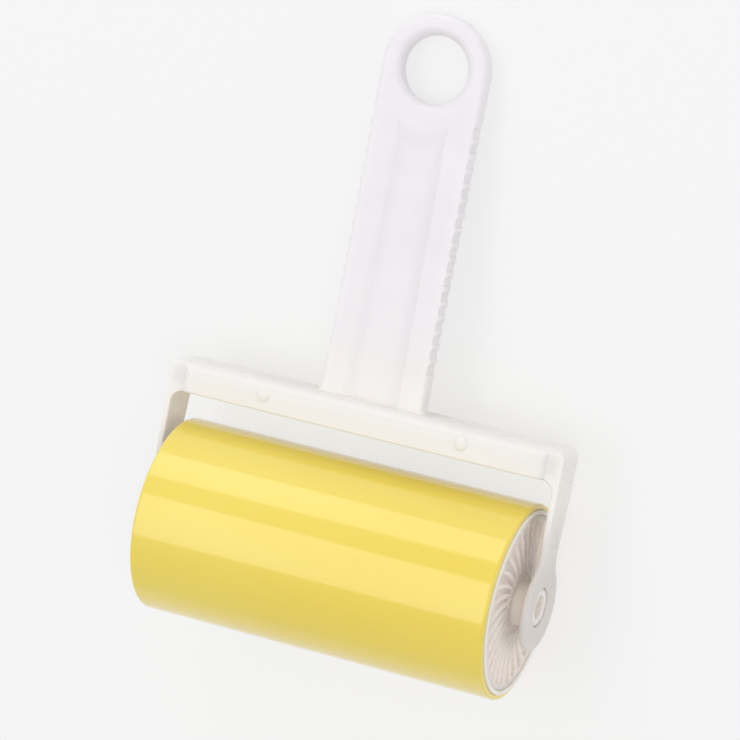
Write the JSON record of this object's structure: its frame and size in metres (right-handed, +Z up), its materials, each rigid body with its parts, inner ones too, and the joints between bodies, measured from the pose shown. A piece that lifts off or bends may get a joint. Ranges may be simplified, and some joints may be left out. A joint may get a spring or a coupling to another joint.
{
  "type": "lint roller",
  "caption": "Washable lint roller: a paddle handle with a hanging hole and a two-armed frame holds a drum with a sticky gel sleeve, which turns freely between the arms.",
  "frame": {"origin": "on the table under the middle of the part's footprint, with the part lying on its drum and the tip of its handle", "axes": "+X along the drum's axis, to the right of someone who looks at the front with the handle up; +Y from the drum towards the handle's tip; +Z up"},
  "size_m": [0.1152, 0.1744, 0.054],
  "materials": {
    "handle_white": "semi-gloss moulded plastic",
    "drum_white": "satin moulded plastic",
    "sticky_gel": "glossy tacky gel"
  },
  "bodies": {
    "frame": {"handle_frame": "handle_white"},
    "drum": {"gel_sleeve": "sticky_gel", "roller_core": "drum_white", "end_cap_right": "drum_white", "end_cap_left": "drum_white"}
  },
  "joints": [
    {"name": "roller_spin", "type": "hinge", "parent": "frame", "child": "drum", "pos_m": [0, -0.06022, 0.027], "axis": [1, 0, 0], "continuous": true}
  ]
}
